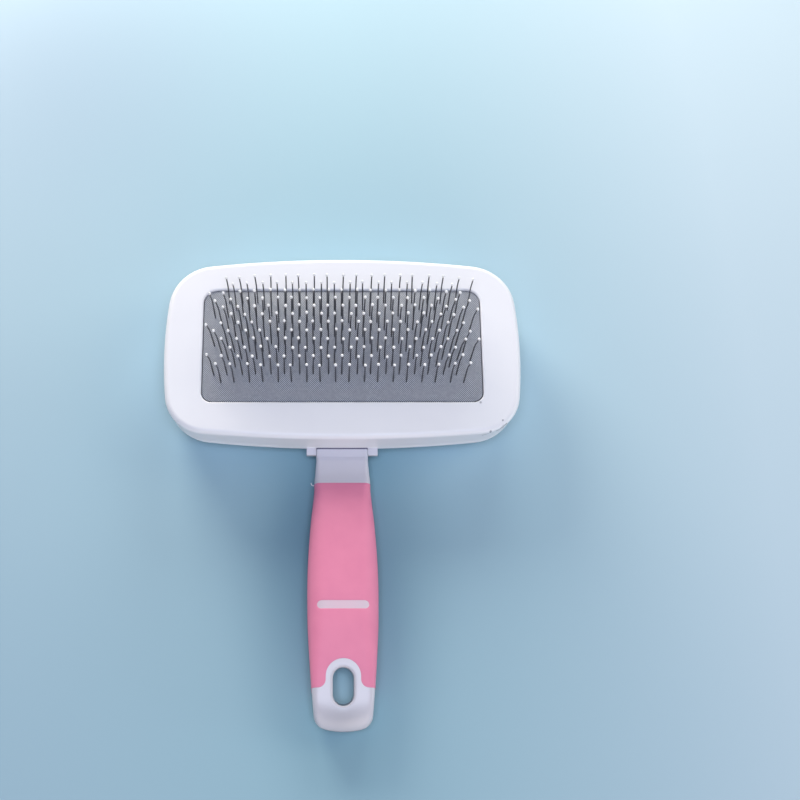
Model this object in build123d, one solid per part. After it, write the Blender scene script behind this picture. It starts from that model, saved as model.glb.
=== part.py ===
from build123d import *
import math
import os

# A slicker brush for grooming pets.  It lies on its back: the pins point up (+Z), the head is
# towards +Y and the handle towards -Y.  The origin is under the middle of the whole brush, on
# the surface that it lies on.  All sizes are in millimetres.

# ---------------------------------------------------------------- whole brush
overall_length = 180.2

trim_margin = 0.1  # forms that are trimmed to an outline start out this much larger

# ---------------------------------------------------------------- head housing
head_width = 136.0
head_above_opening = 37.0  # from the middle of the pad opening to the head's top edge
head_below_opening = 36.6  # and to its bottom edge
head_depth = 24.0
head_top_radius = 450.0  # the four edges of the head are long arcs
head_bottom_radius = 480.0
head_side_radius = 175.0
head_widest_drop = 3.0  # the head is widest a little below the middle of the opening
head_top_corner_radius = 17.0
head_bottom_corner_radius = 18.0
face_edge_radius = 2.4
back_edge_radius = 9.3
parting_height = 10.0  # plane where the front frame meets the back shell
housing_wall = 2.4

opening_width = 106.2
opening_height = 46.2
opening_corner_radius = 5.5
opening_lower_corner_radius = 3.9
opening_lip_radius = 0.8
skirt_wall = 1.6  # collar behind the opening, which presses on the pad carrier

# ---------------------------------------------------------------- snap joint of the housing
fit_gap = 0.15  # clearance all round parts that plug together
rim_wall = 1.4
rim_rise = 2.5  # the back shell's rim stands this far inside the front frame
hook_width = 8.0
hook_wall = 1.8
hook_rise = 7.0
barb_reach = 0.9
barb_height = 1.6
hook_column = 36.0  # distance of the upper and lower hooks from the middle

# ---------------------------------------------------------------- pad carrier
carrier_top = 13.5
carrier_wall = 2.0
carrier_lap = 0.5  # how far the plate reaches past the frame's skirt
carrier_hole_gap = 0.25
post_diameter = 3.6
post_margin = 8.0  # from the edges of the opening in to the middle of a post
post_drop = 0.4  # the posts end this far below the carrier's top
rib_wall = 1.6
rib_columns = (-30.0, -10.0, 10.0, 30.0)
keel_offset = 19.0  # the two long ribs, measured from the middle of the opening

# ---------------------------------------------------------------- cushion and needle cloth
pad_gap = 0.3  # between the pad and the opening
pad_edge_drop = 0.7  # the pad's edge lies this far below the face of the frame
crown_rise = 3.2
crown_flat = 23.0  # half length of the middle stretch, where the crown is even
crown_steps = 4  # straight stretches in which the crown falls off from there to each end
cloth_thickness = 1.5
glue_gap = 0.1

# ---------------------------------------------------------------- pins
row_count = 12
field_rise = 0.95  # the middle of the pin field lies this far above the middle of the opening
field_top_margin = 5.5  # from the pad's upper edge to the first row
field_end_margin = 4.3  # least distance from the pad's ends to a pin
staple_span = 5.0  # distance between the two legs of one staple
staple_pitch = 10.8  # from staple to staple in a row
row_shift_share = 0.25  # each row is shifted from the one above by this share of the pitch
wire_size = 0.42
wire_root = 1.0  # length of leg inside the cloth
lower_leg = 8.2
upper_leg = 5.8
lower_lean = 21.0
upper_lean = 1.0
pin_fan = 0.85  # up and down the pad, the pins follow this share of the cloth's slope
ball_diameter = 1.15

# ---------------------------------------------------------------- handle
neck_width = 19.5
neck_bottom = 1.6
neck_top = 9.6
collar_width = 27.0
collar_reach = 1.9  # the collar stands out of the head's lower edge by this much
collar_bevel = 0.9
shoulder_gap = 0.9  # between the collar and the shoulder of the handle
tongue_width = 15.0
tongue_wall = 5.6
tongue_length = 13.0
tongue_boss_diameter = 6.0
tongue_boss_setback = 6.0  # from the tongue's end to the boss
handle_corner_radius = 3.5
sleeve_wall = 2.0
sleeve_proud = 0.3  # the sleeve stands this far out of the core's surface
sleeve_setback = 14.4  # from the head's lower edge to the sleeve
sleeve_end_setback = 14.4  # from the handle's end to the sleeve
bar_setback = 44.1  # from the handle's end to the middle of the bar
bar_width = 18.8
bar_height = 2.8
slot_width = 7.7
slot_length = 13.5
slot_setback = 14.95  # from the handle's end to the middle of the slot
slot_lean = 11.0  # the slot is square to the sloping front of the handle
slot_bevel = 0.8
arch_rim = 2.5  # white rim between the hanging slot and the sleeve
arch_foot_radius = 3.0  # the rim flares out at its foot
end_bow_radius = 30.0  # the handle's end is bowed in plan
end_corner_radius = 5.0
end_radius = 4.2

# Sections up the handle: place between its end (0) and its shoulder (1), half width, lowest
# and highest point.
handle_stations = (
    (0.0, 9.9, 2.6, 12.2),
    (0.232, 12.1, 0.4, 16.2),
    (0.386, 12.95, 0.0, 17.5),
    (0.56, 12.95, 0.0, 17.2),
    (0.724, 12.0, 0.2, 15.6),
    (0.868, 10.5, 0.8, 12.6),
    (1.0, 9.6, 1.5, 10.2),
)

# ---------------------------------------------------------------- derived places
opening_y = overall_length / 2 - head_above_opening
head_top_y = opening_y + head_above_opening
head_bottom_y = opening_y - head_below_opening
pad_edge_z = head_depth - pad_edge_drop
pad_length = opening_width - 2 * pad_gap
pad_width = opening_height - 2 * pad_gap
carrier_bottom = carrier_top - carrier_wall
face_bottom = head_depth - housing_wall
floor_chamfer = (back_edge_radius - housing_wall) * (2 - math.sqrt(2))
row_pitch = (pad_width / 2 - field_rise - field_top_margin) * 2 / (row_count - 1)
handle_end_y = -overall_length / 2
handle_start_y = head_bottom_y - collar_reach - shoulder_gap
sleeve_top = head_bottom_y - sleeve_setback
sleeve_end = handle_end_y + sleeve_end_setback
bar_y = handle_end_y + bar_setback
slot_y = handle_end_y + slot_setback
grip_height = max(station[3] for station in handle_stations)
handle_length = handle_start_y - handle_end_y


def head_outline(inset):
    """Plan of the head: four long arcs with rounded corners, drawn in by inset."""
    top = Pos(0, head_above_opening - head_top_radius) * Circle(head_top_radius - inset)
    bottom = Pos(0, head_bottom_radius - head_below_opening) * Circle(head_bottom_radius - inset)
    side_shift = head_width / 2 - head_side_radius
    right = Pos(side_shift, -head_widest_drop) * Circle(head_side_radius - inset)
    left = Pos(-side_shift, -head_widest_drop) * Circle(head_side_radius - inset)
    plan = top & bottom & right & left
    plan = fillet(plan.vertices().sort_by(Axis.Y)[-2:], head_top_corner_radius - inset)
    plan = fillet(plan.vertices().sort_by(Axis.Y)[:2], head_bottom_corner_radius - inset)
    return Pos(0, opening_y) * plan


def pad_outline(margin):
    """The pad opening's plan, grown all round by a margin: its lower corners are tighter."""
    plan = Rectangle(opening_width + 2 * margin, opening_height + 2 * margin)
    plan = fillet(plan.vertices().sort_by(Axis.Y)[-2:], opening_corner_radius + margin)
    lower = plan.vertices().sort_by(Axis.Y)[:2]
    return Pos(0, opening_y) * fillet(lower, opening_lower_corner_radius + margin)


def prism(plan, low, high):
    """A plan stood up between two heights."""
    return extrude(Pos(0, 0, low) * plan, amount=high - low)


def block(width, y_low, y_high, z_low, z_high, x=0.0):
    """A box centred on x, between two Y and two Z values."""
    return prism(Pos(x, (y_low + y_high) / 2) * Rectangle(width, y_high - y_low), z_low, z_high)


def edges_at(solid, height):
    """The edges of a solid that lie wholly at one height."""
    return [edge for edge in solid.edges() if flat_at(edge, height)]


def flat_at(edge, height):
    box = edge.bounding_box()
    return abs(box.min.Z - height) < 1e-4 and abs(box.max.Z - height) < 1e-4


# ---------------------------------------------------------------- snap hooks and their catches
def hook_frames():
    """Where the hooks stand on the inside of the housing wall, each facing outwards along +Y."""
    reach = housing_wall + fit_gap
    top_turn = math.degrees(math.asin(hook_column / head_top_radius))
    bottom_turn = math.degrees(math.asin(hook_column / head_bottom_radius))
    top_centre = Pos(0, head_top_y - head_top_radius)
    bottom_centre = Pos(0, head_bottom_y + head_bottom_radius)
    frames = []
    for side in (-1, 1):
        side_centre = Pos(side * (head_width / 2 - head_side_radius), opening_y - head_widest_drop)
        frames.append(top_centre * Rot(0, 0, side * top_turn) * Pos(0, head_top_radius - reach))
        frames.append(bottom_centre * Rot(0, 0, 180 + side * bottom_turn)
                      * Pos(0, head_bottom_radius - reach))
        frames.append(side_centre * Rot(0, 0, -90 * side) * Pos(0, head_side_radius - reach))
    return frames


def snap_hook():
    """A springy hook with a barb; its back lies a little inside the housing wall."""
    setback = barb_reach + fit_gap
    root = parting_height - housing_wall
    tip = parting_height + hook_rise
    profile = Polyline(
        (-setback - hook_wall, root),
        (-setback, root),
        (-setback, tip - barb_height),
        (-fit_gap, tip - barb_height),
        (-setback, tip),
        (-setback - hook_wall, tip),
        close=True,
    )
    return extrude(Plane.YZ * make_face(profile), amount=hook_width / 2, both=True)


def catch():
    """The ledge on the frame's wall that the barb sits on, with a wedge below to lead it in."""
    top = parting_height + hook_rise - barb_height - fit_gap
    root = fit_gap + housing_wall / 2
    profile = Polyline(
        (root, top),
        (fit_gap - barb_reach, top),
        (fit_gap, top - 2 * barb_height),
        (root, top - 2 * barb_height),
        close=True,
    )
    return extrude(Plane.YZ * make_face(profile), amount=hook_width / 2, both=True)


# ---------------------------------------------------------------- front frame
def make_front_frame():
    body = prism(head_outline(0), parting_height, head_depth)
    body = fillet(edges_at(body, head_depth), face_edge_radius)
    body -= prism(head_outline(housing_wall), parting_height, face_bottom)
    body += prism(pad_outline(skirt_wall), carrier_top, head_depth - face_edge_radius / 2)
    body -= prism(pad_outline(0), parting_height, head_depth)
    body = fillet(opening_edges(body), opening_lip_radius)
    for frame in hook_frames():
        body += frame * catch()
    return body


def opening_edges(body):
    """The front edges of the pad opening."""
    half_length = opening_width / 2 + 0.1
    edges = edges_at(body, head_depth)
    return [edge for edge in edges if edge.bounding_box().max.X < half_length
            and edge.bounding_box().min.X > -half_length
            and abs(edge.center().Y - opening_y) < opening_height / 2 + 0.1]


# ---------------------------------------------------------------- back shell
def make_back_shell():
    body = prism(head_outline(0), 0, parting_height)
    body = fillet(edges_at(body, 0), back_edge_radius)
    cavity = prism(head_outline(housing_wall), housing_wall, parting_height)
    cavity = chamfer(edges_at(cavity, housing_wall), floor_chamfer)
    body -= cavity
    body += make_rim()
    body += make_ribs()
    for frame in hook_frames():
        body += frame * snap_hook()
    body += make_collar()
    body -= neck_channel()
    body += tongue_boss()
    return body


def make_rim():
    """An upright rim that plugs into the front frame."""
    outer = head_outline(housing_wall + fit_gap)
    inner = head_outline(housing_wall + fit_gap + rim_wall)
    root = parting_height - 2 * housing_wall
    ring = prism(outer, root, parting_height + rim_rise) - prism(inner, root, parting_height + rim_rise)
    for frame in hook_frames():
        ring -= frame * Pos(0, 0, parting_height + rim_rise) * Box(
            hook_width + 2, 2 * (barb_reach + hook_wall + rim_wall), 2 * rim_rise
        )
    return ring & prism(head_outline(housing_wall / 2), 0, head_depth)


def post_places():
    x = opening_width / 2 - post_margin
    y = opening_height / 2 - post_margin
    return [(sx * x, opening_y + sy * y) for sx in (-1, 1) for sy in (-1, 1)]


def make_ribs():
    """Ribs and posts on the floor of the shell, which carry and locate the pad carrier."""
    low = housing_wall / 2
    ribs = [
        block(opening_width, y - rib_wall / 2, y + rib_wall / 2, low, carrier_bottom)
        for y in (opening_y - keel_offset, opening_y + keel_offset)
    ]
    ribs += [
        block(rib_wall, opening_y - keel_offset, opening_y + keel_offset, low, carrier_bottom, x)
        for x in rib_columns
    ]
    for x, y in post_places():
        ribs.append(prism(Pos(x, y) * Circle(post_diameter), low, carrier_bottom))
        ribs.append(prism(Pos(x, y) * Circle(post_diameter / 2), low, carrier_top - post_drop))
    return ribs


def make_collar():
    """The socket round the neck: it stands out of the head's edge and follows its rounding."""
    plan_low = head_bottom_y - collar_reach
    plan_high = head_bottom_y + back_edge_radius
    collar = block(collar_width, plan_low, plan_high, 0, parting_height)
    near = [edge for edge in collar.edges() if edge.center().Y < plan_low + 0.1]
    collar = fillet([edge for edge in near if edge.center().Z < 0.1], back_edge_radius)
    corners = [edge for edge in collar.edges() if edge.center().Y < plan_low + 0.1
               and abs(edge.center().X) > 1 and edge.bounding_box().size.Z > 0.5]
    return chamfer(corners, collar_bevel)


def neck_channel():
    """The way in for the neck and its tongue, open towards the front."""
    width = neck_width + 2 * fit_gap
    y_low = head_bottom_y - collar_reach - 1
    y_high = head_bottom_y + back_edge_radius + 1
    return block(width, y_low, y_high, neck_bottom - fit_gap, parting_height + rim_rise)


def tongue_boss():
    """The boss that goes through the tongue and holds the handle in the head."""
    y = tongue_end_y() - tongue_boss_setback
    plan = Pos(0, y) * Circle(tongue_boss_diameter / 2)
    return prism(plan, housing_wall / 2, carrier_bottom)


# ---------------------------------------------------------------- pad carrier
def make_pad_carrier():
    plate = prism(pad_outline(skirt_wall + carrier_lap), carrier_bottom, carrier_top)
    for x, y in post_places():
        plate -= prism(Pos(x, y) * Circle(post_diameter / 2 + carrier_hole_gap),
                       carrier_bottom, carrier_top)
    return plate


# ---------------------------------------------------------------- cushion and needle cloth
def crown_at(x):
    """Height of the crown over the pad's edge, in the cross-section at x."""
    fall = pad_length / 2 - crown_flat + pad_gap
    share = max(abs(x) - crown_flat, 0.0) / fall
    return crown_rise * (1 - share**2)


def crown_arc(x, drop):
    """The crown's arc in the cross-section at x, lowered by drop."""
    half = pad_width / 2 + trim_margin
    low = crown_height(x, half) - drop
    start = (x, opening_y - half, low)
    middle = (x, opening_y, crown_height(x, 0) - drop)
    end = (x, opening_y + half, low)
    return ThreePointArc(start, middle, end)


def crown_section(x, drop, floor_drop):
    """A closed cross-section: crown arc above, a straight or a second arc below."""
    top = crown_arc(x, drop)
    if floor_drop is None:
        half = pad_width / 2 + trim_margin
        bottom = Line((x, opening_y - half, carrier_top), (x, opening_y + half, carrier_top))
    else:
        bottom = crown_arc(x, floor_drop)
    near = Line(top @ 0, bottom @ 0)
    far = Line(top @ 1, bottom @ 1)
    return Face(Wire([top, far, bottom, near]))


def crown_loft(drop, floor_drop):
    """A crowned slab through cross-sections along the pad: even in the middle, falling off
    towards both ends."""
    fall = pad_length / 2 + trim_margin - crown_flat
    right = [crown_flat + fall * step / crown_steps for step in range(crown_steps + 1)]
    left = [-x for x in reversed(right)]
    return loft([crown_section(x, drop, floor_drop) for x in left + right], ruled=True)


def make_cloth():
    """The needle cloth: an even slice under the crown, cut to the pad's rounded outline."""
    slab = crown_loft(0, cloth_thickness)
    return slab & prism(pad_outline(-pad_gap), 0, 2 * head_depth)


def make_foam_cushion():
    """Foam block under the cloth, with the same crown."""
    crown = crown_loft(cloth_thickness + glue_gap, None)
    return crown & prism(pad_outline(-pad_gap), 0, 2 * head_depth)


# ---------------------------------------------------------------- pins
def crown_height(x, v):
    """Height of the cloth at x, and at v above the middle of the opening."""
    rise = crown_at(x)
    if rise < 1e-6:
        return pad_edge_z
    half = pad_width / 2
    radius = (half**2 + rise**2) / (2 * rise)
    return pad_edge_z + rise - radius + math.sqrt(radius**2 - v**2)


def pin_upright(x, v):
    """The way that the pins stand at x and v, before they lean: nearly square to the cloth."""
    step = 0.01
    slope_x = (crown_height(x + step, v) - crown_height(x - step, v)) / (2 * step)
    slope_y = (crown_height(x, v + step) - crown_height(x, v - step)) / (2 * step)
    return Vector(-slope_x, -slope_y * pin_fan, 1).normalized()


def staple_middles(row):
    """X of the staples in one row: as many as fit between the field's ends."""
    reach = (pad_length / 2 - field_end_margin - staple_span / 2) / staple_pitch
    shift = row_shift_share * (row + 1) % 1
    first = math.ceil(-reach - shift)
    last = math.floor(reach - shift)
    return [staple_pitch * (index + shift) for index in range(first, last + 1)]


def pin_places():
    """Foot of every leg: X, and V above the middle of the opening."""
    places = []
    for row in range(row_count):
        v = field_rise + row_pitch * ((row_count - 1) / 2 - row)
        for middle in staple_middles(row):
            places.append((middle - staple_span / 2, v))
            places.append((middle + staple_span / 2, v))
    return places


def pin_frame(x, v):
    """Plane of one bent leg: its y axis is upright, its x axis leans towards the head's top."""
    upright = pin_upright(x, v)
    side = Vector(0, 1, 0).cross(upright).normalized()
    forward = upright.cross(side)
    foot = Vector(x, opening_y + v, crown_height(x, v))
    return Plane(origin=foot, x_dir=forward, z_dir=forward.cross(upright))


def leaning(length, lean):
    angle = math.radians(lean)
    return length * math.sin(angle), length * math.cos(angle)


def leg_knee():
    return leaning(lower_leg, lower_lean)


def leg_tip():
    knee_x, knee_y = leg_knee()
    rise_x, rise_y = leaning(upper_leg, upper_lean)
    return knee_x + rise_x, knee_y + rise_y


def make_strand():
    """One leg of a staple: a square wire with a knee, drawn in its own plane."""
    root_x, root_y = leaning(-wire_root, lower_lean)
    knee_x, knee_y = leg_knee()
    tip_x, tip_y = leg_tip()
    side_low = leaning(wire_size / 2, lower_lean + 90)
    side_high = leaning(wire_size / 2, upper_lean + 90)
    side_knee = leaning(wire_size / 2, (lower_lean + upper_lean) / 2 + 90)
    outline = Polyline(
        (root_x - side_low[0], root_y - side_low[1]),
        (knee_x - side_knee[0], knee_y - side_knee[1]),
        (tip_x - side_high[0], tip_y - side_high[1]),
        (tip_x + side_high[0], tip_y + side_high[1]),
        (knee_x + side_knee[0], knee_y + side_knee[1]),
        (root_x + side_low[0], root_y + side_low[1]),
        close=True,
    )
    return extrude(make_face(outline), amount=wire_size / 2, both=True)


def make_pin_field():
    """Needle cloth and all its legs as one solid."""
    strand = make_strand()
    strands = [pin_frame(x, v) * strand for x, v in pin_places()]
    return make_cloth().fuse(*strands)


def make_bead():
    """A faceted bead that starts on the end of the wire and tapers at both ends."""
    half, reach = wire_size / 2, ball_diameter / 2
    profile = make_face(Polyline(
        (-half, 0), (half, 0), (reach, reach), (half, 2 * reach), (-half, 2 * reach),
        (-reach, reach), close=True,
    ))
    across = extrude(Plane.XZ * profile, amount=ball_diameter, both=True)
    along = extrude(Plane.YZ * profile, amount=ball_diameter, both=True)
    return across & along


def make_ball_tips():
    """A bead on the end of every leg."""
    tip_x, tip_y = leg_tip()
    bead = make_bead()
    beads = []
    for x, v in pin_places():
        seat = pin_frame(x, v) * Pos(tip_x, tip_y) * Rot(0, 0, -upper_lean) * Rot(-90, 0, 0)
        beads.append(seat * bead)
    return Compound(children=beads)


# ---------------------------------------------------------------- handle
def tongue_end_y():
    return head_bottom_y + housing_wall + tongue_length


def section_at(y):
    """Half width, lowest and highest point of the handle at y, between the stations."""
    share = (y - handle_end_y) / handle_length
    spans = zip(handle_stations, handle_stations[1:])
    first, second = next(span for span in spans if share <= span[1][0] + 1e-9)
    blend = (share - first[0]) / (second[0] - first[0])
    return [a + (b - a) * blend for a, b in zip(first[1:], second[1:])]


def section_places(y_low, y_high):
    """Y of the stations between two ends, with the ends themselves."""
    places = [handle_end_y + station[0] * handle_length for station in handle_stations]
    return [y_low] + [y for y in places if y_low + trim_margin < y < y_high - trim_margin] + [y_high]


def section_plane(y, low, high):
    return Plane(origin=(0, y, (low + high) / 2), x_dir=(1, 0, 0), z_dir=(0, 1, 0))


def handle_form(inset, y_low, y_high):
    """A stretch of the handle's rounded body, drawn in by inset."""
    sections = []
    for y in section_places(y_low, y_high):
        half_width, low, high = section_at(y)
        plan = RectangleRounded(2 * (half_width - inset), high - low - 2 * inset,
                                handle_corner_radius)
        sections.append(section_plane(y, low, high) * plan)
    return loft(sections, ruled=True)


def sleeve_bore():
    """The square-edged bar of the core that the sleeve is moulded on."""
    sections = []
    for y in section_places(sleeve_end, sleeve_top):
        half_width, low, high = section_at(y)
        plan = Rectangle(2 * (half_width - sleeve_wall), high - low - 2 * sleeve_wall)
        sections.append(section_plane(y, low, high) * plan)
    return loft(sections, ruled=True)


def arch_plan():
    """Outline of the white rim round the hanging slot: an arch that flares out at its foot."""
    radius = slot_width / 2 + arch_rim
    crown_y = slot_y + slot_length / 2 - slot_width / 2
    leg = Pos(0, (crown_y + sleeve_end) / 2) * Rectangle(2 * radius, crown_y - sleeve_end)
    foot = Pos(0, sleeve_end - arch_rim) * Rectangle(4 * neck_width, 2 * arch_rim)
    corners = (leg + foot).vertices().filter_by(lambda v: abs(v.Y - sleeve_end) < 0.01)
    inner = [corner for corner in corners if abs(corner.X) < radius + 0.1]
    return fillet(inner, arch_foot_radius) + Pos(0, crown_y) * Circle(radius)


def bar_plan():
    return Pos(0, bar_y) * SlotOverall(bar_width, bar_height)


def make_grip_sleeve():
    """Soft overmould: the outer skin of the handle, with gaps for the bar and the arch."""
    skin = handle_form(0, sleeve_end, sleeve_top) - sleeve_bore()
    skin -= prism(arch_plan(), -1, 2 * grip_height)
    return skin - prism(bar_plan(), grip_height / 2, 2 * grip_height)


def end_plan():
    """Plan of the handle's end: bowed, with rounded corners."""
    half_width = handle_stations[0][1]
    middle_y = handle_end_y + end_bow_radius
    plan = Pos(0, middle_y) * Circle(end_bow_radius)
    plan &= Pos(0, middle_y) * Rectangle(2 * half_width, 2 * end_bow_radius)
    plan = fillet(plan.vertices().sort_by(Axis.Y)[:2], end_corner_radius)
    beyond = handle_end_y + end_bow_radius / 2
    return plan + Pos(0, beyond + overall_length / 2) * Rectangle(4 * half_width, overall_length)


def end_profile():
    """Side view of the handle's end: both edges rounded, and open towards the head."""
    first, second = handle_stations[:2]
    inner_y = handle_end_y + second[0] * handle_length
    outline = Polyline(
        (handle_end_y, first[2] + sleeve_proud),
        (handle_end_y, first[3] - sleeve_proud),
        (inner_y, second[3] - sleeve_proud),
        (inner_y, second[2] + sleeve_proud),
        close=True,
    )
    profile = make_face(outline)
    profile = fillet(profile.vertices().sort_by(Axis.X)[:2], end_radius)
    profile += Pos(inner_y + overall_length / 2) * Rectangle(overall_length, 4 * grip_height)
    return extrude(Plane.YZ * profile, amount=2 * neck_width, both=True)


def slot_cutter():
    """The hanging slot, square to the front of the handle."""
    top = section_at(slot_y)[2]
    seat = Pos(0, slot_y, top) * Rot(slot_lean, 0, 0) * Rot(0, 0, 90)
    return extrude(seat * SlotOverall(slot_length, slot_width), amount=grip_height * 2, both=True)


def make_handle_core(sleeve):
    """Hard core: what the sleeve leaves of the handle, with the neck, tongue and slot."""
    lower = handle_form(sleeve_proud, handle_end_y - trim_margin / 2, sleeve_end)
    lower &= prism(end_plan(), -1, 2 * grip_height)
    lower &= end_profile()
    body = lower + handle_form(sleeve_proud, sleeve_end, handle_start_y)
    body -= slot_cutter()
    body = chamfer(slot_edges(body), slot_bevel)
    body -= sleeve
    neck_high = head_bottom_y + housing_wall
    neck = block(neck_width, handle_start_y - 0.01, neck_high, neck_bottom, neck_top)
    middle = (neck_bottom + neck_top) / 2
    tongue = block(tongue_width, neck_high - 1, tongue_end_y(), middle - tongue_wall / 2,
                   middle + tongue_wall / 2)
    body = body + neck + tongue
    hole_y = tongue_end_y() - tongue_boss_setback
    hole = Pos(0, hole_y) * Circle(tongue_boss_diameter / 2 + fit_gap)
    return body - prism(hole, 0, head_depth)


def slot_edges(body):
    """The upper and lower edges of the hanging slot."""
    half = slot_width / 2 + 0.01
    reach = slot_length / 2 + grip_height * math.tan(math.radians(slot_lean))
    near = [edge for edge in body.edges() if abs(edge.center().Y - slot_y) < reach]
    return [edge for edge in near if edge.bounding_box().max.X < half
            and edge.bounding_box().min.X > -half and edge.bounding_box().size.Z < 4]


# ---------------------------------------------------------------- write the parts
def write(name, shape):
    shape.label = name
    export_step(shape, os.path.join("parts", name + ".step"))


def main():
    os.makedirs("parts", exist_ok=True)
    sleeve = make_grip_sleeve()
    write("front_frame", make_front_frame())
    write("back_shell", make_back_shell())
    write("pad_carrier", make_pad_carrier())
    write("foam_cushion", make_foam_cushion())
    write("pin_field", make_pin_field())
    write("ball_tips", make_ball_tips())
    write("grip_sleeve", sleeve)
    write("handle_core", make_handle_core(sleeve))


main()
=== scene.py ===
import math
import random

import bmesh
import bpy
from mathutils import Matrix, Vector, kdtree
from mathutils.geometry import delaunay_2d_cdt


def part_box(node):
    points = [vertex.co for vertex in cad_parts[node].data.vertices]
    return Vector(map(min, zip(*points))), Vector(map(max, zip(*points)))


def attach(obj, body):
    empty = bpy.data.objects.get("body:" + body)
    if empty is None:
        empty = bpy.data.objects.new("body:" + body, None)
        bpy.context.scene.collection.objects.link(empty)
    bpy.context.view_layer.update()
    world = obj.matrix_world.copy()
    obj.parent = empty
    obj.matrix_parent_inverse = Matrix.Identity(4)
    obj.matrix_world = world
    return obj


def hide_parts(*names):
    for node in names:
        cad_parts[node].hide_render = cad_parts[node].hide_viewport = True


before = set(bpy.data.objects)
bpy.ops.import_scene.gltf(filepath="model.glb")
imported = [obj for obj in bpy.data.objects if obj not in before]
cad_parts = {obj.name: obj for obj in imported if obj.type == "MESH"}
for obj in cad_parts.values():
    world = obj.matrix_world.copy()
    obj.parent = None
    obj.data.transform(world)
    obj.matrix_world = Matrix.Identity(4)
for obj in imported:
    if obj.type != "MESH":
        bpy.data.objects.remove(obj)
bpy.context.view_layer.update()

# A slicker brush for grooming pets, lying on its back with the pins up.  Sizes are in
# millimetres and follow the frame's axes, and a mesh is brought to metres when it is made.
MM = 0.001
random.seed(20)

# ---- head
head_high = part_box("front_frame")[1] / MM
shell_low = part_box("back_shell")[0] / MM
head_depth = head_high.z
head_above_opening = 37.0
head_below_opening = 36.6
opening_y = head_high.y - head_above_opening
head_bottom_y = opening_y - head_below_opening
head_top_radius = 450.0
head_side_radius = 175.0
head_widest_drop = 3.0
face_edge_radius = 2.0
wall_top = head_depth - face_edge_radius
back_edge_radius = 9.3
back_edge_reach = 13.0
parting_height = 10.0
# The head's wall leans in towards the back.  Its outline at the face and at the parting:
# width, distance of the top and of the bottom edge from the middle of the opening, radius of
# the bottom edge, upper and lower corner radius.
face_outline = (135.5, 36.7, 37.6, 600.0, 18.0, 16.0)
parting_outline = (134.3, 36.2, 36.4, 490.0, 18.0, 17.5)
parting_gap = 0.06
parting_bevel = 0.22
housing_wall = 2.4
opening_width = 106.2
opening_height = 46.2
opening_corner_radius = 5.5
opening_lower_corner_radius = 3.9
opening_lip_radius = 0.8
least_corner_radius = 0.6
skirt_wall = 1.6
carrier_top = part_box("pad_carrier")[1].z / MM
collar_width = 27.0
collar_reach = 1.9
ear_reach = 2.5
ear_corner_radius = 1.4
ear_edge_radius = 0.4
ear_drop = 1.0
channel_width = 19.8
channel_floor = 1.45

# ---- pad and pins
pad_gap = 0.3
pad_edge_drop = 0.7
pad_length = opening_width - 2 * pad_gap
pad_width = opening_height - 2 * pad_gap
pad_edge_z = head_depth - pad_edge_drop
crown_rise = 3.2
crown_flat = 23.0
cloth_thickness = 1.5
cushion_waist = 1.2
cushion_draft = 0.15
cushion_foot = 0.6
cushion_shoulder = 2.4
cushion_gap = 0.05
cushion_crown_inset = 8.0
row_count = 12
field_rise = 0.95
field_top_margin = 5.5
field_end_margin = 4.3
row_pitch = (pad_width / 2 - field_rise - field_top_margin) * 2 / (row_count - 1)
staple_pitch = 10.8
staple_span = 5.0
row_shift_share = 0.25
wire_radius = 0.26
root_depth = 1.0
lower_leg = 8.2
upper_leg = 5.8
knee_reach = 1.1
# Each lean in degrees and the sideways sway, with how much they vary from pin to pin.
lower_lean = (21.0, 0.7)
upper_lean = (1.0, 1.1)
sway_spread = 0.012
pin_fan = 0.85
ball_diameter = 1.15
ball_seat = 0.38 * ball_diameter
ball_spread = (0.93, 1.06)
ball_taper = 1.22

# Scuffs near the lower right corner of the head: both ends of each stroke, measured in plan from
# the middle of the opening and in height from the table, then half width and strength.
scuffs = (
    ((51.8, -23.4, 24.0), (51.8, -23.4, 24.0), 0.70, 0.60),
    ((59.8, -30.6, 24.0), (59.9, -30.5, 24.0), 0.50, 0.70),
    ((55.2, -34.7, 22.5), (55.3, -34.6, 22.5), 0.60, 0.85),
    ((52.6, -34.9, 19.8), (54.5, -34.8, 21.0), 0.45, 0.50),
    ((57.8, -33.6, 21.1), (61.4, -31.4, 22.1), 0.50, 0.75),
    ((59.6, -32.6, 21.5), (60.1, -32.3, 21.7), 0.90, 0.30),
)

# ---- handle
neck_width = 19.6
neck_low = 1.6
neck_high = 9.8
neck_edge_radius = 0.9
neck_overlap = 1.0
tongue_setback = 0.38
tongue_step = 0.2
shoulder_gap = 1.7
shoulder_bevel = 1.3
shoulder_drop = 0.3
sleeve_proud = 0.08
sleeve_wall = 1.0
sleeve_edge = 0.32
bar_width = 18.8
bar_height = 2.8
dish_length = 11.5
dish_width = 4.6
dish_depth = 0.16
slot_width = 8.1
slot_length = 13.5
slot_lean = 11.0
slot_edge_radius = 0.7
flash_path = ((-10.2, 2.3, 8.2), (-11.0, 1.9, 8.4), (-11.5, 2.1, 8.6), (-11.8, 2.9, 8.7))
flash_radius = 0.22
arch_rim = 2.15
arch_rise = 0.75
arch_foot_radius = 3.0
end_bow_radius = 26.0
bow_half_width = 12.0
bow_length = 15.0
end_corner_radius = 3.3
end_radius = 5.0
end_reach = 10.5
least_edge_radius = 0.25
handle_end_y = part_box("handle_core")[0].y / MM
handle_start_y = head_bottom_y - collar_reach - shoulder_gap
sleeve_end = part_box("grip_sleeve")[0].y / MM
sleeve_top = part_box("grip_sleeve")[1].y / MM
bar_y = handle_end_y + 44.1
slot_y = handle_end_y + 14.95
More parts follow.
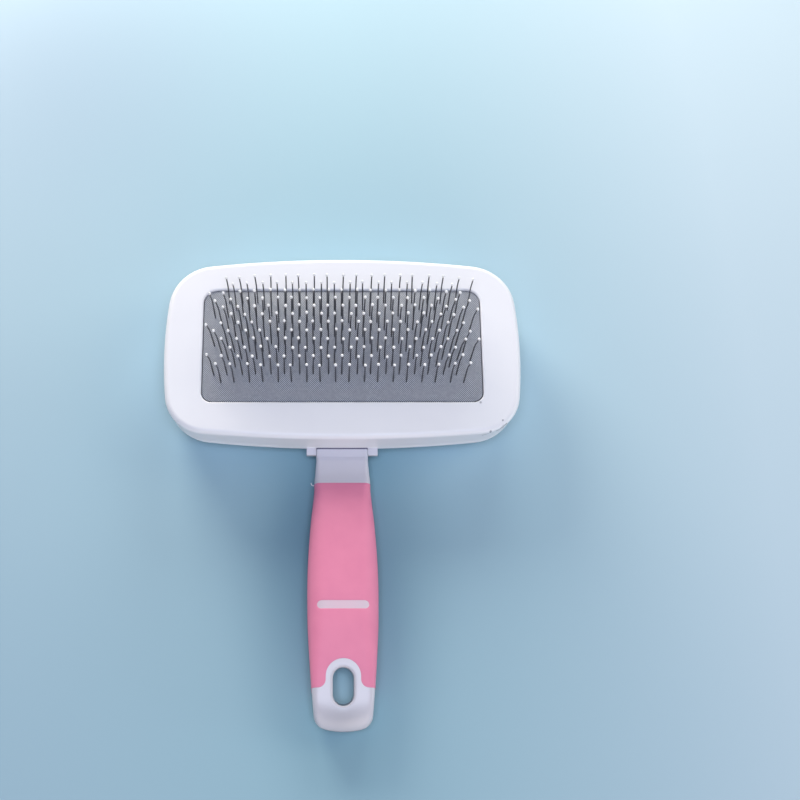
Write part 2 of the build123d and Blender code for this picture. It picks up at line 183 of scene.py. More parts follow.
# Sections up the handle: place between its end (0) and its shoulder (1), half width, lowest
# point, highest point and corner radius.
handle_stations = (
    (0.0, 10.5, 2.6, 12.2, 1.6),
    (0.107, 11.2, 1.5, 14.0, 1.8),
    (0.232, 12.1, 0.4, 16.2, 3.8),
    (0.386, 12.95, 0.0, 17.5, 6.4),
    (0.56, 12.95, 0.0, 17.2, 6.4),
    (0.724, 12.0, 0.2, 15.6, 5.2),
    (0.868, 10.56, 0.8, 12.6, 3.0),
    (0.905, 10.6, 0.95, 11.7, 2.2),
    (0.93, 10.34, 1.1, 11.0, 1.8),
    (1.0, 9.75, 1.5, 10.3, 1.3),
)

# ---- colour, floor, light and camera
# Materials that drift between two tones.
pink_tones = ((0.765, 0.227, 0.376, 1), (0.855, 0.274, 0.428, 1))
cloth_tones = ((0.17, 0.183, 0.22, 1), (0.635, 0.67, 0.76, 1))
steel_tones = ((0.12, 0.12, 0.14, 1), (0.26, 0.27, 0.30, 1))
resin_tones = ((0.82, 0.83, 0.87, 1), (0.93, 0.93, 0.95, 1))
foam_tones = ((0.16, 0.17, 0.19, 1), (0.34, 0.35, 0.38, 1))
scuff_tone = (0.20, 0.21, 0.26, 1)
scuff_shape = (1.0, 1.0, 0.3)
weave_turn = 45.0
thread_pitch = 0.55
floor_reach = 650.0
floor_drop = 0.2
# The floor's tone is painted light and shade: it pales along a slant, and outwards from a painted
# shadow in the middle.
floor_tones = ((0.33, 0.485, 0.60, 1), (0.54, 0.675, 0.78, 1))
light_slant = (1.0, 0.7, 0.0)
slant_range = (-213.0, 339.0)
middle_shadow_tone = (0.275, 0.46, 0.555, 1)
middle_place = (0.0, -60.0)
middle_reach = (150.0, 500.0)
middle_range = (0.05, 1.1)
# Soft spots of painted light and shade on the floor and on the handle: middle and reach in plan,
# and tint.
floor_light_spots = (
    (-120.0, 196.0, 130.0, 130.0, (0.80, 0.80, 0.85)),
    (0.0, -26.0, 50.0, 105.0, (0.49, 0.62, 0.66)),
    (0.0, -72.5, 14.0, 18.0, (2.2, 1.75, 1.5)),
)
# Painted pink bounce light at the bar and painted shade at the handle's end.
handle_light_spots = (
    (0.0, -46.0, 20.0, 8.0, (1.2, 0.9, 0.95)),
    (0.0, -86.0, 13.0, 9.0, (0.78, 0.79, 0.80)),
)
# Round lamps that aim at one place, in metres: place, width, power and colour.
lamp_aim = (0.0, 0.03, 0.0)
lamps = {
    "key_left": ((-0.25, 0.52, 0.20), 0.30, 3.5, (1.0, 0.92, 0.79)),
    "key_right": ((0.12, 0.60, 0.22), 0.30, 1.75, (0.96, 1.0, 0.93)),
    "side": ((0.75, 0.25, 0.50), 0.50, 2.0, (1.0, 0.86, 0.70)),
    "fill": ((0.0, -0.28, 1.00), 0.50, 5.95, (0.70, 0.79, 1.0)),
    "front": ((0.22, -1.10, 0.42), 0.70, 4.2, (1.0, 0.89, 0.77)),
    "front_left": ((-0.40, -0.95, 0.30), 0.50, 1.75, (1.0, 0.92, 0.84)),
    "edge": ((0.95, -0.12, 0.14), 0.30, 1.6, (0.75, 0.95, 1.0)),
}
surround_tone = (0.90, 0.92, 1.0, 1)
surround_strength = 0.02
backdrop_tone = (0.50, 0.66, 0.78, 1)
camera_place = (-7.5, opening_y - 238.4, head_depth + 551.0)
camera_tilt = 21.4
camera_lens = 71.0
camera_shift = 0.0970


# ==== mesh helpers
def make_object(name, points, faces, material, sharp_angle=None):
    """A smooth-shaded mesh object from points in millimetres, its normals turned outwards."""
    mesh = bpy.data.meshes.new(name)
    mesh.from_pydata([Vector(point) * MM for point in points], [], faces)
    build = bmesh.new()
    build.from_mesh(mesh)
    bmesh.ops.remove_doubles(build, verts=build.verts, dist=0.002 * MM)
    bmesh.ops.recalc_face_normals(build, faces=build.faces)
    build.to_mesh(mesh)
    build.free()
    mesh.shade_smooth()
    if sharp_angle is not None:
        mesh.set_sharp_from_angle(angle=math.radians(sharp_angle))
    mesh.materials.append(material)
    made = bpy.data.objects.new(name, mesh)
    bpy.context.collection.objects.link(made)
    return made


def even_normals(made):
    """Large flat faces keep flat shading beside their rounded edges."""
    modifier = made.modifiers.new("even_normals", "WEIGHTED_NORMAL")
    modifier.keep_sharp = True
    modifier.weight = 100


def as_piece(made, slot_name, *nodes):
    """Puts a piece on the brush in place of the nodes that it stands for."""
    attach(made, "root")
    if nodes:
        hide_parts(*nodes)


def skin(rings, closed_profile=False, capped=False):
    """Quads between rings of equal count, with a face on each end ring where capped; returns
    points and faces."""
    count = len(rings[0])
    points = [point for ring in rings for point in ring]
    faces = []
    last = len(rings) if closed_profile else len(rings) - 1
    for row in range(last):
        upper = (row + 1) % len(rings)
        for index in range(count):
            following = (index + 1) % count
            faces.append((row * count + index, row * count + following,
                          upper * count + following, upper * count + index))
    if capped:
        faces.append(tuple(range(count)))
        faces.append(tuple(range(len(points) - count, len(points))))
    return points, faces


def add_skin(points, faces, rings):
    """Adds a capped skin to points and faces that are already there."""
    more, covered = skin(rings, capped=True)
    faces.extend(tuple(index + len(points) for index in face) for face in covered)
    points.extend(more)


def steps(count):
    return [index / count for index in range(count + 1)]


def on_circle(x, y, radius, angle):
    return x + radius * math.cos(angle), y + radius * math.sin(angle)


def rounding(reach, rise, count):
    """Steps round an edge from its side to its top: how far in, and how far below the top."""
    angles = [math.pi / 2 * share for share in steps(count)]
    return [(reach * (1 - math.cos(angle)), rise * (1 - math.sin(angle))) for angle in angles]


# ==== head outline
arc_samples = (14, 10, 40, 10, 14, 10, 40, 10)


def inner_corner(first, second, radius, upper):
    """Centre of the fillet inside two circles given as (x, y, radius)."""
    (x0, y0, r0), (x1, y1, r1) = first, second
    r0, r1 = r0 - radius, r1 - radius
    distance = math.hypot(x1 - x0, y1 - y0)
    along = (r0**2 - r1**2 + distance**2) / (2 * distance)
    off = math.sqrt(r0**2 - along**2)
    ux, uy = (x1 - x0) / distance, (y1 - y0) / distance
    found = [(x0 + along * ux - side * off * uy, y0 + along * uy + side * off * ux)
             for side in (-1, 1)]
    found = [point for point in found if point[0] > 0]
    return max(found, key=lambda point: point[1] * (1 if upper else -1))


def head_arcs(z):
    """The head's outline at a height as eight arcs: centre, radius, first and last angle."""
    share = min(max((wall_top - z) / (wall_top - parting_height), 0.0), 1.0)
    width, above, below, bottom_radius, upper_radius, lower_radius = [
        a + (b - a) * share for a, b in zip(face_outline, parting_outline)]
    top = (0.0, opening_y + above - head_top_radius, head_top_radius)
    bottom = (0.0, opening_y - below + bottom_radius, bottom_radius)
    side = (width / 2 - head_side_radius, opening_y - head_widest_drop, head_side_radius)
    upper = inner_corner(top, side, upper_radius, True)
    lower = inner_corner(bottom, side, lower_radius, False)
    side_up, top_turn = [math.atan2(upper[1] - y, upper[0] - x) for x, y, _ in (side, top)]
    side_down, bottom_turn = [math.atan2(lower[1] - y, lower[0] - x) for x, y, _ in (side, bottom)]
    pi = math.pi
    return [
        (*side, side_down, side_up),
        (*upper, upper_radius, side_up, top_turn),
        (*top, top_turn, pi - top_turn),
        (-upper[0], upper[1], upper_radius, pi - top_turn, pi - side_up),
        (-side[0], side[1], head_side_radius, pi - side_up, pi - side_down),
        (-lower[0], lower[1], lower_radius, pi - side_down, pi - bottom_turn),
        (*bottom, pi - bottom_turn, 2 * pi + bottom_turn),
        (*lower, lower_radius, 2 * pi + bottom_turn, 2 * pi + side_down),
    ]


def head_ring(inset, z):
    ring = []
    for (x, y, radius, start, end), samples in zip(head_arcs(z), arc_samples):
        for share in steps(samples)[:-1]:
            ring.append((*on_circle(x, y, radius - inset, start + (end - start) * share), z))
    return ring


def opening_ring(offset, z):
    """The opening's plan grown by offset, sampled like the head's outline."""
    corners = []
    for side, end in ((1, 1), (-1, 1), (-1, -1), (1, -1)):
        radius = opening_corner_radius if end > 0 else opening_lower_corner_radius
        radius = max(radius + offset, least_corner_radius)
        corners.append((side * (opening_width / 2 + offset - radius),
                        opening_y + end * (opening_height / 2 + offset - radius), radius))
    ring = []
    for turn, (x, y, radius) in enumerate(corners):
        angle = math.pi / 2 * turn
        start_x, start_y = on_circle(*corners[turn - 1], angle)
        end_x, end_y = on_circle(x, y, radius, angle)
        straight, bend = arc_samples[2 * turn], arc_samples[2 * turn + 1]
        for share in steps(straight)[:-1]:
            ring.append((start_x + (end_x - start_x) * share,
                         start_y + (end_y - start_y) * share, z))
        for share in steps(bend)[:-1]:
            ring.append((*on_circle(x, y, radius, angle + math.pi / 2 * share), z))
    return ring


# ==== head housing
def make_front_frame(material):
    rings = [opening_ring(0, carrier_top)]
    for inset, drop in rounding(opening_lip_radius, opening_lip_radius, 5):
        rings.append(opening_ring(inset, head_depth - drop))
    for inset, drop in reversed(rounding(face_edge_radius, face_edge_radius, 9)):
        rings.append(head_ring(inset, head_depth - drop))
    low = parting_height + parting_gap
    rings += [head_ring(0, low + parting_bevel), head_ring(parting_bevel, low),
              head_ring(housing_wall, low), head_ring(housing_wall, head_depth - housing_wall),
              opening_ring(skirt_wall, head_depth - housing_wall),
              opening_ring(skirt_wall, carrier_top)]
    made = make_object("frame_white", *skin(rings, closed_profile=True), material, 40)
    even_normals(made)
    as_piece(made, "white_housing", "front_frame")


def shell_rings():
    """From the middle of the shell's inside over its wall to the middle of its back."""
    high = parting_height - parting_gap
    rings = [head_ring(parting_bevel, high), head_ring(0, high - parting_bevel)]
    for inset, rise in rounding(back_edge_reach, back_edge_radius, 12):
        rings.append(head_ring(inset, shell_low.z + rise))
    inner = [head_ring(back_edge_reach, shell_low.z + housing_wall)]
    hollow = rounding(back_edge_reach - housing_wall, back_edge_radius - housing_wall, 6)
    for inset, rise in reversed(hollow):
        inner.append(head_ring(housing_wall + inset, shell_low.z + housing_wall + rise))
    inner.append(head_ring(housing_wall, high))
    return inner + rings


def make_back_shell(material):
    shell = make_object("shell_white", *skin(shell_rings(), capped=True), material, 40)
    even_normals(shell)
    as_piece(shell, "white_housing", "back_shell")


def make_collar(material):
    """The socket at the head's lower edge: an ear on each side of the neck, rounded like the
    head's back edge, and a thin floor under the neck."""
    near, far = head_bottom_y - ear_reach, head_bottom_y + back_edge_radius
    top = parting_height - ear_drop
    profile = [(far, 0.0), (far, top), (near, top)]
    for inset, rise in rounding(back_edge_radius, back_edge_radius, 10)[1:]:
        profile.append((near + inset, rise))
    half, channel = collar_width / 2, channel_width / 2

    # The edges to round are found by the box round each: those of the ear's outer side that
    # face the handle, and those at the front of its top.
    def outer_corner(low, high):
        return min(abs(low.x), abs(high.x)) > half - 0.1 and high.y < near + 0.5

    def upper_front(low, high):
        return low.z > top - 0.05 and high.y < near + 1.5

    for side in (-1, 1):
        ear = make_object("ear_white", *slab(profile, side * channel, side * half), material)
        round_edges(ear, ear_corner_radius, outer_corner)
        round_edges(ear, ear_edge_radius, upper_front)
        ear.data.set_sharp_from_angle(angle=math.radians(40))
        as_piece(ear, "white_housing")
    low_part = slab([(y, z) for y, z in profile if z <= channel_floor], -channel, channel)
    as_piece(make_object("collar_floor", *low_part, material, 40), "white_housing")


def slab(profile, x_from, x_to):
    """A profile of (y, z) points stood up between two values of x."""
    return skin([[(x, y, z) for y, z in profile] for x in (x_from, x_to)], capped=True)


def round_edges(made, radius, wanted):
    """Bevels the edges whose end points, in millimetres, are wanted."""
    build = bmesh.new()
    build.from_mesh(made.data)
    chosen = []
    for edge in build.edges:
        ends = [vert.co / MM for vert in edge.verts]
        low = Vector([min(pair) for pair in zip(*ends)])
        high = Vector([max(pair) for pair in zip(*ends)])
        if wanted(low, high):
            chosen.append(edge)
    bmesh.ops.bevel(build, geom=chosen, offset=radius * MM, segments=4, profile=0.5,
                    affect="EDGES", clamp_overlap=True)
    build.to_mesh(made.data)
    build.free()
    made.data.shade_smooth()


# ==== handle surface
def profile_at(y):
    """Half width, low, high and corner radius of the handle at y, by smooth interpolation."""
    rows = handle_stations
    place = min(max((y - handle_end_y) / (handle_start_y - handle_end_y), 0.0), 1.0)
    index = sum(place > row[0] for row in rows[1:-1])
    a, b = rows[index], rows[index + 1]
    before = rows[max(index - 1, 0)]
    after = rows[min(index + 2, len(rows) - 1)]
    span = b[0] - a[0]
    t = (place - a[0]) / span
    values = []
    for column in range(1, 5):
        slope_a = (b[column] - before[column]) / (b[0] - before[0])
        slope_b = (after[column] - a[column]) / (after[0] - a[0])
        values.append((2 * t**3 - 3 * t**2 + 1) * a[column]
                      + (t**3 - 2 * t**2 + t) * span * slope_a
                      + (3 * t**2 - 2 * t**3) * b[column]
                      + (t**3 - t**2) * span * slope_b)
    return values


def edge_drop(distance, radius):
    """How far a rounded edge lies below the surface at this distance from the boundary."""
    short = min(max(radius - distance, 0.0), radius)
    return radius - math.sqrt(radius**2 - short**2)


def section_at(y, inset):
    """Straight half width, corner radius, side height, low and high of one section; the
    sections draw in towards the end and slope down to the shoulder."""
    half, low, high, radius = profile_at(y)
    from_end = y - handle_end_y
    drop = edge_drop(from_end * end_radius / end_reach, end_radius)
    half -= inset + edge_drop(from_end, end_corner_radius)
    low += inset + drop
    high -= inset + drop
    high -= shoulder_drop * max(1 - (handle_start_y - y) / shoulder_bevel, 0.0)
    radius = min(max(radius - inset, least_edge_radius), (high - low) / 2 - 0.02)
    return half - radius, radius, max(high - low - 2 * radius, 0.0), low, high


def half_length(section):
    straight, radius, side = section[:3]
    return 2 * straight + math.pi * radius + side


def bowed(x, q):
    """Y of a point at x on the ring q: rings bow more and more towards the handle's end."""
    bow = end_bow_radius - math.sqrt(end_bow_radius**2 - min(x, bow_half_width)**2)
    share = min(max((handle_end_y + bow_length - q) / bow_length, 0.0), 1.0)
    return q + bow * share**2 * (3 - 2 * share)


def skin_point(s, q, inset):
    """A point of the handle's right half: s runs from the middle of the back to the middle
    of the front, q up the handle."""
    section = section_at(q, inset)
    straight, radius, side, low, high = section
    way = s * half_length(section)
    bend = math.pi / 2 * radius
    if way <= straight:
        x, z = way, low
    elif way <= straight + bend:
        angle = (way - straight) / radius
        x, z = straight + radius * math.sin(angle), low + radius * (1 - math.cos(angle))
    elif way <= straight + bend + side:
        x, z = straight + radius, low + radius + way - straight - bend
    elif way <= straight + 2 * bend + side:
        angle = (way - straight - bend - side) / radius
        x, z = straight + radius * math.cos(angle), high - radius * (1 - math.sin(angle))
    else:
        x, z = half_length(section) - way, high
    return (max(x, 0.0), bowed(x, q), max(z, inset))


def ring_place(x, y, front):
    """(s, q) of the plan point (x, y) on the front or on the back."""
    q = y
    for _ in range(6):
        q -= bowed(x, q) - y
    section = section_at(q, sleeve_proud)
    straight, radius = section[:2]
    way = x
    if x > straight:
        way = straight + radius * math.asin(min((x - straight) / radius, 1.0))
    share = way / half_length(section)
    return (1 - share if front else share), q


class Patch:
    """A stretch of the handle's right half.  Its boundary is laid down in order as rows that
    start on it and step inwards; the rest is filled with an even grid and triangulated."""

    edge_shares = (0.0, 0.06, 0.22, 0.5, 1.0)
    layout_scale = 36.0  # half a turn round the handle, as laid out for the triangulation
    grid = 1.0

    def __init__(self):
        self.places = []
        self.rim = []

    def add(self, s, q, drop=0.0):
        self.places.append((s, q, drop))
        return len(self.places) - 1

    def on_one_seam(self, first, second):
        pair = self.places[first][0], self.places[second][0]
        return max(pair) < 1e-6 or min(pair) > 1 - 1e-6

    def lay(self, rows):
        """Adds rows to the patch and the first of them to its rim, which first runs along
        the middle line if it ends there."""
        fresh = [[self.add(*place) for place in row] for row in rows]
        if self.rim and self.on_one_seam(self.rim[-1], fresh[0][0]):
            self.run_seam(self.rim[-1], fresh[0][0])
        self.rim += fresh[0]
        return fresh[0]

    def close(self):
        self.run_seam(self.rim[-1], self.rim[0])

    def run_seam(self, start, end):
        """Extends the rim along a middle line, through the points that already lie on it."""
        s, q_start, _ = self.places[start]
        q_end = self.places[end][1]
        low, high = min(q_start, q_end) + 1e-3, max(q_start, q_end) - 1e-3
        held = {q: index for index, (other, q, _) in enumerate(self.places)
                if abs(other - s) < 1e-6 and low < q < high}
        count = int((high - low) / self.grid)
        for step in range(1, count):
            q = low + (high - low) * step / count
            if all(abs(q - other) > 0.4 * self.grid for other in held):
                held[q] = self.add(s, q)
        self.rim += [held[q] for q in sorted(held, reverse=q_end < q_start)]

    def fill(self):
        """Grid points that keep clear of all rows laid so far."""
        tree = kdtree.KDTree(len(self.places))
        for index, (s, q, _) in enumerate(self.places):
            tree.insert((s * self.layout_scale, q, 0), index)
        tree.balance()
        heights = [q for _, q, _ in self.places]
        low, high = min(heights), max(heights)
        columns = int(self.layout_scale / self.grid)
        rows = int((high - low) / self.grid)
        for row in range(1, rows):
            q = low + (high - low) * row / rows
            for column in range(columns):
                s = (column + 0.25 + 0.5 * (row % 2)) / columns
                if tree.find((s * self.layout_scale, q, 0))[2] > 0.55 * self.grid:
                    self.add(s, q)

    def triangulate(self):
        """Triangles inside the rim; afterwards found tells where each laid point went."""
        flat = [Vector((s * self.layout_scale, q)) for s, q, _ in self.places]
        edges = [(a, self.rim[k - 1]) for k, a in enumerate(self.rim)]
        points, _, faces, origins = delaunay_2d_cdt(flat, edges, [], 1, 1e-5)[:4]
        used = sorted({index for face in faces for index in face})
        renumber = {index: number for number, index in enumerate(used)}
        self.found = {source: renumber[index] for index in used for source in origins[index]}
        places = []
        for index in used:
            drop = self.places[origins[index][0]][2] if origins[index] else 0.0
            places.append((points[index].x / self.layout_scale, points[index].y, drop))
        return places, [tuple(renumber[index] for index in face) for face in faces]


def mirrored(points, faces):
    count = len(points)
    both = points + [(-x, y, z) for x, y, z in points]
    return both, faces + [tuple(index + count for index in reversed(face)) for face in faces]


def curve_rows(curve, front, radius):
    """Rows that step from a plan curve into the patch, for an edge rounded by radius.  The
    curve is a list of points, each with its normal."""
    rows = []
    for share in Patch.edge_shares:
        distance = share * radius
        row = []
        for (x, y), (nx, ny) in curve:
            s, q = ring_place(max(x + nx * distance, 0.0), y + ny * distance, front)
            if x < 1e-6:
                s = 1.0 if front else 0.0
            row.append((s, q, edge_drop(distance, radius)))
        rows.append(row)
    return rows


def level_rows(q_edge, inwards, s_values, distances, radius):
    """Rows that step from an edge round the handle at one height."""
    return [[(s, q_edge + inwards * distance, edge_drop(distance, radius)) for s in s_values]
            for distance in distances]


# ---- plan curves on the handle
def arc_curve(x, y, radius, start, end, count):
    """Points with outward normals on an arc, angles in quarter turns."""
    curve = []
    for share in steps(count):
        angle = math.pi / 2 * (start + (end - start) * share)
        curve.append((on_circle(x, y, radius, angle), on_circle(0, 0, 1, angle)))
    return curve


def line_curve(start, end, normal, count):
    """Points between two ends, without the ends themselves."""
    return [((start[0] + (end[0] - start[0]) * share, start[1] + (end[1] - start[1]) * share),
             normal) for share in steps(count)[1:-1]]


def arch_curve():
    """Right half of the arch round the slot, from its crown down to its flared foot."""
    radius = slot_width / 2 + arch_rim
    crown_y = slot_y + (slot_length - slot_width) / 2 + arch_rise
    foot_y = sleeve_end + arch_foot_radius
    foot_x = radius + arch_foot_radius
    foot = [((x, y), (-nx, -ny))
            for (x, y), (nx, ny) in arc_curve(foot_x, foot_y, arch_foot_radius, 2, 3, 9)]
    return (arc_curve(0, crown_y, radius, 1, 0, 22)
            + line_curve((radius, crown_y), (radius, foot_y), (1, 0), 4) + foot)


def slot_curve(middle_y):
    """Right half of the hanging slot, from its top to its bottom."""
    radius = slot_width / 2
    reach = (slot_length - slot_width) / 2
    return (arc_curve(0, middle_y + reach, radius, 1, 0, 14)
            + line_curve((radius, middle_y + reach), (radius, middle_y - reach), (1, 0), 10)
            + arc_curve(0, middle_y - reach, radius, 0, -1, 14))


def bar_curve():
    """Right half of the bar's opening, from its top to its bottom."""
    radius = bar_height / 2
    reach = bar_width / 2 - radius
    upper, lower = bar_y + radius, bar_y - radius
    return ([((0, upper), (0, 1))] + line_curve((0, upper), (reach, upper), (0, 1), 14)
            + arc_curve(reach, bar_y, radius, 1, -1, 16)
            + line_curve((reach, lower), (0, lower), (0, -1), 14) + [((0, lower), (0, -1))])


# ---- sleeve
def dish(x, y):
    """Depth of the shallow thumb rest round the bar."""
    share = (x / dish_length)**2 + ((y - bar_y) / dish_width)**2
    return dish_depth * math.exp(-share**2)


def worn_point(s, q, inset):
    """A point of the handle's surface, let in by inset and by the dish on the front."""
    x, y, _ = skin_point(s, q, inset)
    return skin_point(s, q, inset + dish(x, y)) if s > 0.5 else skin_point(s, q, inset)


def make_sleeve(material):
    patch = Patch()
    round_places = steps(44)
    distances = [share * sleeve_edge for share in Patch.edge_shares]
    patch.lay(level_rows(sleeve_top, -1, round_places, distances, sleeve_edge))
    patch.lay(curve_rows(bar_curve(), True, sleeve_edge))
    front = curve_rows(arch_curve(), True, sleeve_edge)
    back = curve_rows(arch_curve(), False, sleeve_edge)
    patch.lay(front)
    start, end = front[0][-1][0], back[0][-1][0]
    hem = [start + (end - start) * share for share in steps(30)[1:-1]]
    patch.lay(level_rows(sleeve_end, 1, hem, distances, sleeve_edge))
    patch.lay([row[::-1] for row in back])
    patch.close()
    patch.fill()
    places, faces = patch.triangulate()
    outer = [worn_point(s, q, drop) for s, q, drop in places]
    inner = [skin_point(s, q, sleeve_wall) for s, q, _ in places]
    count = len(outer)
    faces += [tuple(index + count for index in reversed(face)) for face in faces]
    for k, index in enumerate(patch.rim):
        before = patch.rim[k - 1]
        if not patch.on_one_seam(before, index):
            a, b = patch.found[before], patch.found[index]
            faces.append((a, b, b + count, a + count))
    points, faces = mirrored(outer + inner, faces)
    made = make_object("sleeve_pink", points, faces, material, 50)
    as_piece(made, "soft_grip", "grip_sleeve")


# ---- core
def make_core(material):
    patch = Patch()
    round_places = steps(44)
    start_steps = [share * shoulder_bevel for share in (0.0, 0.35, 0.7, 1.0)]
    start_row = patch.lay(level_rows(handle_start_y, -1, round_places, start_steps, 0.0))
    low, high = profile_at(slot_y)[1:3]
    back_y = slot_y + (high - low) * math.tan(math.radians(slot_lean))
    front_row = patch.lay(curve_rows(slot_curve(slot_y), True, slot_edge_radius))
    end_steps = [share**2 * end_corner_radius for share in steps(10)]
    end_places = [1 - share for share in round_places]
    end_row = patch.lay(level_rows(handle_end_y, 1, end_places, end_steps, 0.0))
    back = curve_rows(slot_curve(back_y), False, slot_edge_radius)
    back_row = patch.lay([row[::-1] for row in back])
    patch.close()
    patch.fill()
    places, faces = patch.triangulate()
    points = [worn_point(s, q, sleeve_proud + drop) for s, q, drop in places]
    found = patch.found
    for row in (start_row, end_row):
        count = len(row) - 1
        for k in range(count // 2):
            corner = (row[k], row[k + 1], row[count - k - 1], row[count - k])
            faces.append(tuple(found[index] for index in corner))
    back_row.reverse()
    for k in range(len(front_row) - 1):
        corner = (front_row[k], front_row[k + 1], back_row[k + 1], back_row[k])
        faces.append(tuple(found[index] for index in corner))
    points, faces = mirrored(points, faces)
    made = make_object("core_white", points, faces, material, 50)
    as_piece(made, "white_handle", "handle_core")


def make_neck(material, seam_shadow_material):
    """The neck that goes into the head's collar, and a lower tongue that carries on
    under the frame, painted dark as the shadow in the gap: a fine painted shadow line along the
    frame's edge."""
    seam_y = head_bottom_y - tongue_setback
    pieces = (("neck_white", handle_start_y - neck_overlap, seam_y, neck_high, material),
              ("tongue_painted_shadow", seam_y - neck_overlap, head_bottom_y + housing_wall,
               neck_high - tongue_step, seam_shadow_material))
    for name, near, far, high, finish in pieces:
        rings = [neck_ring(y, high) for y in (near, far)]
        as_piece(make_object(name, *skin(rings, capped=True), finish, 50), "white_handle")


def neck_ring(y, high):
    half, radius = neck_width / 2, neck_edge_radius
    middle, reach = (high + neck_low) / 2, (high - neck_low) / 2
    ring = []
    for turn, (sx, sz) in enumerate(((1, -1), (1, 1), (-1, 1), (-1, -1))):
        for share in steps(6):
            angle = math.pi / 2 * (turn - 1 + share)
            x, z = on_circle(sx * (half - radius), middle + sz * (reach - radius), radius, angle)
            ring.append((x, y, z))
    return ring


def make_flash(material):
    """A curl of moulding flash on the left of the neck, at the sleeve's upper edge."""
    points, faces = [], []
    add_tube(points, faces, [Vector(place) for place in flash_path], flash_radius, 6)
    as_piece(make_object("flash_curl", points, faces, material), "white_handle")


# ==== cushion, cloth and pins
def crown_at(x):
    fall = pad_length / 2 - crown_flat + pad_gap
    share = max(abs(x) - crown_flat, 0.0) / fall
    return crown_rise * (1 - share**2)


def crown_height(x, v):
    rise = crown_at(x)
    half = pad_width / 2
    if rise < 1e-6:
        return pad_edge_z
    radius = (half**2 + rise**2) / (2 * rise)
    return pad_edge_z + rise - radius + math.sqrt(radius**2 - v**2)


def pin_upright(x, v):
    """The way that the pins stand at x and v, before they lean: nearly square to the cloth."""
    step = 0.01
    slope_x = (crown_height(x + step, v) - crown_height(x - step, v)) / (2 * step)
    slope_y = (crown_height(x, v + step) - crown_height(x, v - step)) / (2 * step)
    return Vector((-slope_x, -slope_y * pin_fan, 1)).normalized()


def pad_ring(inset, drop):
    """The pad's outline on the crown, drawn in by inset and lowered by drop."""
    limit = pad_width / 2 - 0.01
    return [(x, y, crown_height(x, min(max(y - opening_y, -limit), limit)) - drop)
            for x, y, _ in opening_ring(-pad_gap - inset, 0.0)]


def make_cloth(material):
    """The needle cloth: a crowned sheet with a cut edge."""
    rows, columns = 60, 120
    points, faces = [], []
    for row in range(rows + 1):
        for column in range(columns + 1):
            x, v = rounded_square_place(2 * column / columns - 1, 2 * row / rows - 1)
            points.append((x, opening_y + v, crown_height(x, v)))
    width = columns + 1
    for row in range(rows):
        for column in range(columns):
            a = row * width + column
            faces.append((a, a + 1, a + 1 + width, a + width))
    border = (list(range(columns)) + [row * width + columns for row in range(rows)]
              + [rows * width + column for column in range(columns, 0, -1)]
              + [row * width for row in range(rows, 0, -1)])
    base = len(points)
    for index in border:
        x, y, z = points[index]
        points.append((x, y, z - cloth_thickness))
    for index in range(len(border)):
        following = (index + 1) % len(border)
        faces.append((border[following], border[index], base + index, base + following))
    faces.append(tuple(range(base, base + len(border))))
    as_piece(make_object("cloth_grey", points, faces, material, 40), "needle_cloth")


def rounded_square_place(u, w):
    """Takes a point of the unit square to the pad's rounded outline."""
    half_x, half_y = pad_length / 2, pad_width / 2
    x, v = u * half_x, w * half_y
    radius = (opening_corner_radius if v > 0 else opening_lower_corner_radius) - pad_gap
    over_y = max(abs(v) - (half_y - radius), 0.0)
    reach_x = half_x - radius + math.sqrt(max(radius**2 - over_y**2, 0.0))
    end_share = 0.2
    near = max((abs(u) - (1 - end_share)) / end_share, 0.0)
    x *= 1 - near * (1 - reach_x / half_x)
    return x, v


def make_foam(material):
    heights = ((carrier_top, 0.0), (carrier_top + cushion_foot, cushion_draft),
               ((carrier_top + pad_edge_z) / 2, cushion_waist),
               (pad_edge_z - cushion_shoulder, cushion_draft))
    rings = [opening_ring(-pad_gap - inset, z) for z, inset in heights]
    for inset in (0.0, cushion_crown_inset):
        rings.append(pad_ring(inset, cloth_thickness + cushion_gap))
    made = make_object("cushion_foam", *skin(rings, capped=True), material, 60)
    as_piece(made, "foam", "foam_cushion")


def staple_middles(row):
    """X of the staples in one row: as many as fit between the field's ends."""
    reach = (pad_length / 2 - field_end_margin - staple_span / 2) / staple_pitch
    shift = row_shift_share * (row + 1) % 1
    first = math.ceil(-reach - shift)
    last = math.floor(reach - shift)
    return [staple_pitch * (index + shift) for index in range(first, last + 1)]


def pin_places():
    """Foot of every leg: X, and V above the middle of the opening."""
    places = []
    for row in range(row_count):
        v = field_rise + row_pitch * ((row_count - 1) / 2 - row)
        for middle in staple_middles(row):
            places.append((middle - staple_span / 2, v))
            places.append((middle + staple_span / 2, v))
    return places


def leaning(length, lean):
    angle = math.radians(lean)
    return length * math.sin(angle), length * math.cos(angle)


def pin_path(x, v):
    """Middle line of one leg, from inside the cloth over its knee to the tip."""
    upright = pin_upright(x, v)
    side = Vector((0, 1, 0)).cross(upright).normalized()
    forward = upright.cross(side)
    foot = Vector((x, opening_y + v, crown_height(x, v)))
    low_lean = random.gauss(*lower_lean)
    high_lean = random.gauss(*upper_lean)
    sway = random.gauss(0, sway_spread)
    knee = leaning(lower_leg, low_lean)
    before = leaning(lower_leg - knee_reach, low_lean)
    line = [leaning(-root_depth, low_lean), before]
    ahead = leaning(knee_reach, high_lean)
    after = (knee[0] + ahead[0], knee[1] + ahead[1])
    for share in (0.25, 0.5, 0.75, 1.0):
        line.append(tuple((1 - share)**2 * p + 2 * share * (1 - share) * k + share**2 * a
                          for p, k, a in zip(before, knee, after)))
    rise = leaning(upper_leg, high_lean)
    line.append((knee[0] + rise[0], knee[1] + rise[1]))
    return [foot + forward * f + upright * n + side * sway * max(n, 0.0) for f, n in line]


